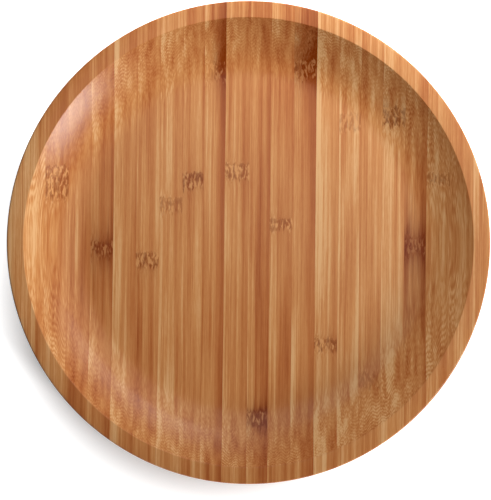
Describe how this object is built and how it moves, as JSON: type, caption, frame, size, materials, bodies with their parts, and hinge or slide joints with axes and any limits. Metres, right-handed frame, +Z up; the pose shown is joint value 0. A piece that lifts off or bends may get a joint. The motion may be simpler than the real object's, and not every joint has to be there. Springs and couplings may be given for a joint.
{
  "type": "lazy susan turntable",
  "caption": "Round bamboo serving tray with a flat rim, hollow cove and flat floor, spinning on a square ball bearing over a small bamboo base with rubber feet.",
  "frame": {"origin": "on the spin axis, in the plane that the rubber feet stand on", "axes": "+Z up along the spin axis; +Y along the tray's bamboo strips at rest; +X across them"},
  "size_m": [0.406, 0.406, 0.0479],
  "materials": {
    "lacquered_bamboo": "edge-glued bamboo strips, turned, sanded and satin lacquered",
    "base_bamboo": "edge-glued bamboo strips, sanded and sealed",
    "plated_steel": "pressed sheet steel, bright zinc plated",
    "screw_steel": "zinc plated steel",
    "ball_steel": "polished bearing steel",
    "nylon": "moulded natural nylon",
    "rubber": "moulded black rubber"
  },
  "bodies": {
    "base": {"base": "base_bamboo", "foot_1": "rubber", "foot_2": "rubber", "foot_3": "rubber", "foot_4": "rubber", "foot_5": "rubber", "foot_6": "rubber", "lower_bearing_plate": "plated_steel", "base_screw_1": "screw_steel", "base_screw_2": "screw_steel", "base_screw_3": "screw_steel", "base_screw_4": "screw_steel"},
    "ball_ring": {"ball_cage": "nylon", "ball_01": "ball_steel", "ball_02": "ball_steel", "ball_03": "ball_steel", "ball_04": "ball_steel", "ball_05": "ball_steel", "ball_06": "ball_steel", "ball_07": "ball_steel", "ball_08": "ball_steel", "ball_09": "ball_steel", "ball_10": "ball_steel", "ball_11": "ball_steel", "ball_12": "ball_steel", "ball_13": "ball_steel", "ball_14": "ball_steel", "ball_15": "ball_steel", "ball_16": "ball_steel", "ball_17": "ball_steel", "ball_18": "ball_steel", "ball_19": "ball_steel", "ball_20": "ball_steel", "ball_21": "ball_steel", "ball_22": "ball_steel", "ball_23": "ball_steel", "ball_24": "ball_steel"},
    "turntable": {"tray": "lacquered_bamboo", "upper_bearing_plate": "plated_steel", "tray_screw_1": "screw_steel", "tray_screw_2": "screw_steel", "tray_screw_3": "screw_steel", "tray_screw_4": "screw_steel"}
  },
  "joints": [
    {"name": "turntable_spin", "type": "hinge", "parent": "base", "child": "turntable", "pos_m": [0, 0, 0.0189], "axis": [0, 0, 1], "continuous": true},
    {"name": "ball_orbit", "type": "hinge", "parent": "base", "child": "ball_ring", "pos_m": [0, 0, 0.0189], "axis": [0, 0, 1], "continuous": true}
  ],
  "couplings": [
    {"joint": "ball_orbit", "follows": "turntable_spin", "ratio": 0.5}
  ]
}
